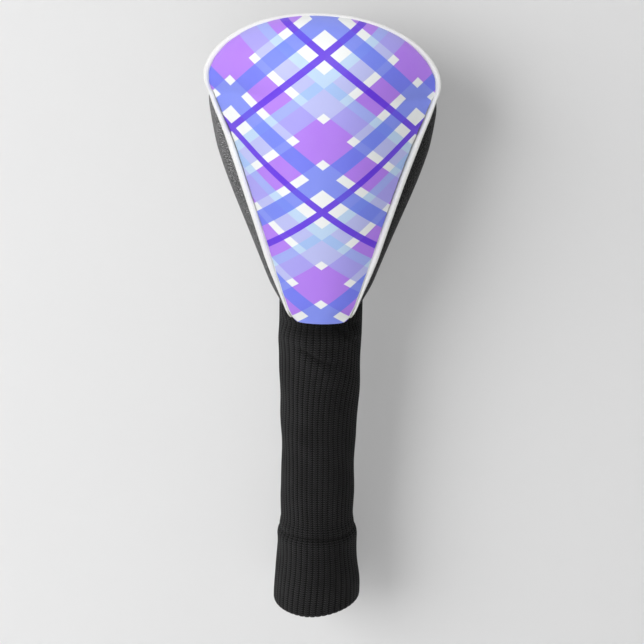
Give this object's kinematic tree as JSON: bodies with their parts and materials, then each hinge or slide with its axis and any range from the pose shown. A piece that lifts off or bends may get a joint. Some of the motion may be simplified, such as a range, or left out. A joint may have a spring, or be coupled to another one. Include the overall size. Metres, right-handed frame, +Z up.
{
  "type": "driver head cover",
  "caption": "Padded driver head cover: piped, domed pocket with a bias-plaid crown, black gusset and sole, and a long rib-knit sock with a folded hem.",
  "frame": {"origin": "centre of the neck ring, on the shaft's axis, where the club's hosel leaves the pocket", "axes": "+Z up along the club's shaft towards the toe of the pocket; -Y towards the printed crown side; +X to the right seen from the crown side"},
  "size_m": [0.1332, 0.0894, 0.3712],
  "materials": {
    "crown_fabric": "smooth synthetic leather printed with a plaid in white, orchid, blue, light blue and violet",
    "foam": "open-cell foam sheet",
    "lining": "short-pile velour",
    "black_synthetic": "fine-grained synthetic leather, satin",
    "white_piping": "smooth synthetic leather, satin",
    "cord": "twisted cotton filler cord",
    "rib_knit": "one-by-one rib knit in acrylic yarn",
    "thread": "polyester thread",
    "elastic": "woven elastic tape",
    "binding": "woven polyester tape"
  },
  "bodies": {
    "root": {"crown_panel": "crown_fabric", "crown_padding": "foam", "crown_lining": "lining", "side_gusset": "black_synthetic", "gusset_padding": "foam", "gusset_lining": "lining", "sole_panel": "black_synthetic", "sole_padding": "foam", "sole_lining": "lining", "piping_cover": "white_piping", "piping_cord": "cord", "knit_sock": "rib_knit", "hem_thread": "thread", "neck_elastic": "elastic", "neck_binding": "binding"}
  },
  "joints": []
}
